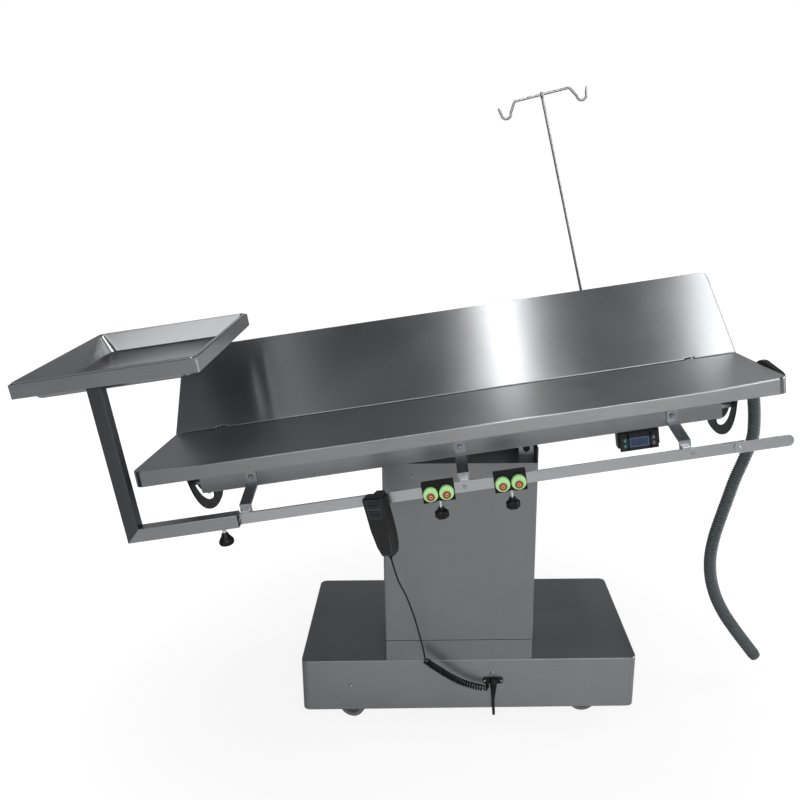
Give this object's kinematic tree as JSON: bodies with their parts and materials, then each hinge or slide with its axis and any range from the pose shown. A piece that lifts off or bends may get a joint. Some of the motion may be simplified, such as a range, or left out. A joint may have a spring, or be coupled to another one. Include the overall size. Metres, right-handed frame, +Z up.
{
  "type": "veterinary surgery table",
  "caption": "Electric surgery table for animals: V-shaped stainless steel top that tilts on a lifting column, with a drain, side rails, instrument tray, infusion pole and a base on castors.",
  "frame": {"origin": "on the floor under the middle of the base", "axes": "+X along the table towards its right end as seen from the operator's side, +Y to the back, +Z up"},
  "size_m": [1.7668, 0.8396, 1.5378],
  "materials": {
    "steel": "brushed",
    "dull_steel": "satin",
    "dark_steel": "satin",
    "bright_steel": "polished",
    "black_plastic": "matt",
    "black_cord": "matt",
    "grey_rubber": "matt",
    "hose_grey": "matt",
    "pale_green": "matt",
    "keys_cyan": "matt",
    "keys_grey": "matt",
    "aluminium": "extruded"
  },
  "bodies": {
    "base": {"base_cover": "steel", "chassis": "dull_steel", "fixed_shroud": "steel", "lift_column_outer": "aluminium", "lift_motor": "black_plastic", "base_inlets": "black_plastic", "curly_cord": "black_cord", "mains_cord": "black_cord", "mains_coil": "black_cord", "mains_plug": "black_plastic"},
    "lift": {"column_shroud": "steel", "lift_head": "dull_steel", "lift_column_inner": "aluminium", "tilt_actuator": "black_plastic", "tilt_pin": "dark_steel"},
    "tilt_frame": {"side_beams": "steel", "cross_members": "dull_steel", "rail_hangers": "dull_steel", "side_rails": "steel", "panel_brackets": "dull_steel", "drain_trough": "steel", "thermostat": "black_plastic", "drain_hose": "hose_grey", "handset_lead": "black_cord"},
    "tilt_rod": {"tilt_rod": "aluminium"},
    "front_panel": {"front_panel": "steel", "front_sectors": "dark_steel", "lift_grip": "black_plastic"},
    "rear_panel": {"rear_panel": "steel", "rear_sectors": "dark_steel"},
    "thermostat_keys_left": {"thermostat_keys_left": "keys_cyan"},
    "thermostat_keys_right": {"thermostat_keys_right": "keys_grey"},
    "tray": {"tray_arm": "steel", "tray_frame": "steel"},
    "tray_pan": {"tray_pan": "bright_steel"},
    "tray_knob": {"tray_knob": "black_plastic"},
    "cleat_left": {"cleat_left": "black_plastic"},
    "cleat_left_cam_1": {"cleat_left_cam_1": "pale_green"},
    "cleat_left_cam_2": {"cleat_left_cam_2": "pale_green"},
    "cleat_left_knob": {"cleat_left_knob": "black_plastic"},
    "cleat_right": {"cleat_right": "black_plastic"},
    "cleat_right_cam_1": {"cleat_right_cam_1": "pale_green"},
    "cleat_right_cam_2": {"cleat_right_cam_2": "pale_green"},
    "cleat_right_knob": {"cleat_right_knob": "black_plastic"},
    "handset": {"handset": "black_plastic"},
    "pole_clamp": {"pole_clamp": "dark_steel"},
    "infusion_pole": {"infusion_pole": "bright_steel"},
    "pole_knob": {"pole_knob": "black_plastic"},
    "castor_fl": {"castor_fork_fl": "dull_steel"},
    "wheel_fl": {"castor_wheel_fl": "grey_rubber"},
    "castor_fr": {"castor_fork_fr": "dull_steel"},
    "wheel_fr": {"castor_wheel_fr": "grey_rubber"},
    "castor_rl": {"castor_fork_rl": "dull_steel"},
    "wheel_rl": {"castor_wheel_rl": "grey_rubber"},
    "castor_rr": {"castor_fork_rr": "dull_steel"},
    "wheel_rr": {"castor_wheel_rr": "grey_rubber"},
    "handset_button_1": {"handset_button_1": "black_plastic"},
    "handset_button_2": {"handset_button_2": "black_plastic"},
    "handset_button_3": {"handset_button_3": "black_plastic"},
    "handset_button_4": {"handset_button_4": "black_plastic"}
  },
  "joints": [
    {"name": "castor_swivel_fl", "type": "hinge", "parent": "base", "child": "castor_fl", "pos_m": [-0.325, -0.14, 0.1], "axis": [0, 0, 1], "continuous": true},
    {"name": "wheel_spin_fl", "type": "hinge", "parent": "castor_fl", "child": "wheel_fl", "pos_m": [-0.29962, -0.15183, 0.0375], "axis": [0.4226, 0.9063, 0], "continuous": true},
    {"name": "castor_swivel_fr", "type": "hinge", "parent": "base", "child": "castor_fr", "pos_m": [0.325, -0.14, 0.1], "axis": [0, 0, 1], "continuous": true},
    {"name": "wheel_spin_fr", "type": "hinge", "parent": "castor_fr", "child": "wheel_fr", "pos_m": [0.297, -0.14, 0.0375], "axis": [0, -1, 0], "continuous": true},
    {"name": "castor_swivel_rl", "type": "hinge", "parent": "base", "child": "castor_rl", "pos_m": [-0.325, 0.14, 0.1], "axis": [0, 0, 1], "continuous": true},
    {"name": "wheel_spin_rl", "type": "hinge", "parent": "castor_rl", "child": "wheel_rl", "pos_m": [-0.30206, 0.15606, 0.0375], "axis": [-0.5736, 0.8192, 0], "continuous": true},
    {"name": "castor_swivel_rr", "type": "hinge", "parent": "base", "child": "castor_rr", "pos_m": [0.325, 0.14, 0.1], "axis": [0, 0, 1], "continuous": true},
    {"name": "wheel_spin_rr", "type": "hinge", "parent": "castor_rr", "child": "wheel_rr", "pos_m": [0.30075, 0.154, 0.0375], "axis": [-0.5, -0.866, 0], "continuous": true},
    {"name": "lift", "type": "slide", "parent": "base", "child": "lift", "axis": [0, 0, 1], "range_m": [0, 0.3]},
    {"name": "tilt", "type": "hinge", "parent": "lift", "child": "tilt_frame", "pos_m": [0.129, 0, 0.733], "axis": [0, 1, 0], "range_deg": [0, 18]},
    {"name": "tilt_rod_slide", "type": "slide", "parent": "lift", "child": "tilt_rod", "axis": [0, 0, 1], "range_m": [0, 0.0876]},
    {"name": "front_panel_hinge", "type": "hinge", "parent": "tilt_frame", "child": "front_panel", "pos_m": [-0.03403, -0.013, 0.81581], "axis": [-0.989, 0, -0.1478], "range_deg": [0, 35]},
    {"name": "rear_panel_hinge", "type": "hinge", "parent": "tilt_frame", "child": "rear_panel", "pos_m": [-0.03403, -0.013, 0.81581], "axis": [0.989, 0, 0.1478], "range_deg": [-39.6, 5]},
    {"name": "thermostat_keys_left_press", "type": "slide", "parent": "tilt_frame", "child": "thermostat_keys_left", "axis": [0, 1, 0], "range_m": [0, 0.001], "stiffness_N_per_m": 400},
    {"name": "thermostat_keys_right_press", "type": "slide", "parent": "tilt_frame", "child": "thermostat_keys_right", "axis": [0, 1, 0], "range_m": [0, 0.001], "stiffness_N_per_m": 400},
    {"name": "tray_slide", "type": "slide", "parent": "tilt_frame", "child": "tray", "axis": [0.989, 0, 0.1478], "range_m": [-0.15, 0]},
    {"name": "tray_pan_lift", "type": "slide", "parent": "tray", "child": "tray_pan", "axis": [-0.1478, 0, 0.989], "range_m": [0, 0.12]},
    {"name": "tray_knob_turn", "type": "hinge", "parent": "tray", "child": "tray_knob", "pos_m": [-0.54394, -0.344, 0.60816], "axis": [-0.1478, 0, 0.989], "range_deg": [0, 180]},
    {"name": "cleat_left_slide", "type": "slide", "parent": "tilt_frame", "child": "cleat_left", "axis": [0.989, 0, 0.1478], "range_m": [-0.06, 0.004]},
    {"name": "cleat_left_cam_1_turn", "type": "hinge", "parent": "cleat_left", "child": "cleat_left_cam_1", "pos_m": [-0.09539, -0.36, 0.68986], "axis": [0, 1, 0], "range_deg": [-20, 20], "stiffness_Nm_per_rad": 0.05},
    {"name": "cleat_left_cam_2_turn", "type": "hinge", "parent": "cleat_left", "child": "cleat_left_cam_2", "pos_m": [-0.06117, -0.36, 0.69497], "axis": [0, 1, 0], "range_deg": [-20, 20], "stiffness_Nm_per_rad": 0.05},
    {"name": "cleat_left_knob_turn", "type": "hinge", "parent": "cleat_left", "child": "cleat_left_knob", "pos_m": [-0.0717, -0.344, 0.64841], "axis": [-0.1478, 0, 0.989], "range_deg": [0, 180]},
    {"name": "cleat_right_slide", "type": "slide", "parent": "tilt_frame", "child": "cleat_right", "axis": [0.989, 0, 0.1478], "range_m": [-0.04, 0.25]},
    {"name": "cleat_right_cam_1_turn", "type": "hinge", "parent": "cleat_right", "child": "cleat_right_cam_1", "pos_m": [0.0589, -0.36, 0.71292], "axis": [0, 1, 0], "range_deg": [-20, 20], "stiffness_Nm_per_rad": 0.05},
    {"name": "cleat_right_cam_2_turn", "type": "hinge", "parent": "cleat_right", "child": "cleat_right_cam_2", "pos_m": [0.09312, -0.36, 0.71803], "axis": [0, 1, 0], "range_deg": [-20, 20], "stiffness_Nm_per_rad": 0.05},
    {"name": "cleat_right_knob_turn", "type": "hinge", "parent": "cleat_right", "child": "cleat_right_knob", "pos_m": [0.08259, -0.344, 0.67146], "axis": [-0.1478, 0, 0.989], "range_deg": [0, 180]},
    {"name": "handset_lift_off", "type": "slide", "parent": "tilt_frame", "child": "handset", "axis": [-0.1478, 0, 0.989], "range_m": [0, 0.06]},
    {"name": "handset_button_1_press", "type": "slide", "parent": "handset", "child": "handset_button_1", "axis": [0.3963, 0.9135, 0.0915], "range_m": [0, 0.001], "stiffness_N_per_m": 300},
    {"name": "handset_button_2_press", "type": "slide", "parent": "handset", "child": "handset_button_2", "axis": [0.3963, 0.9135, 0.0915], "range_m": [0, 0.001], "stiffness_N_per_m": 300},
    {"name": "handset_button_3_press", "type": "slide", "parent": "handset", "child": "handset_button_3", "axis": [0.3963, 0.9135, 0.0915], "range_m": [0, 0.001], "stiffness_N_per_m": 300},
    {"name": "handset_button_4_press", "type": "slide", "parent": "handset", "child": "handset_button_4", "axis": [0.3963, 0.9135, 0.0915], "range_m": [0, 0.001], "stiffness_N_per_m": 300},
    {"name": "pole_clamp_slide", "type": "slide", "parent": "tilt_frame", "child": "pole_clamp", "axis": [0.989, 0, 0.1478], "range_m": [-0.3, 0.025]},
    {"name": "pole_slide", "type": "slide", "parent": "pole_clamp", "child": "infusion_pole", "axis": [-0.2402, 0, 0.9707], "range_m": [-0.3, 0.03]},
    {"name": "pole_knob_turn", "type": "hinge", "parent": "pole_clamp", "child": "pole_knob", "pos_m": [0.39556, 0.345, 0.7693], "axis": [0, 1, 0], "range_deg": [0, 180]}
  ],
  "couplings": [
    {"joint": "tilt_rod_slide", "follows": "tilt", "m_per_rad": 0.2779}
  ]
}
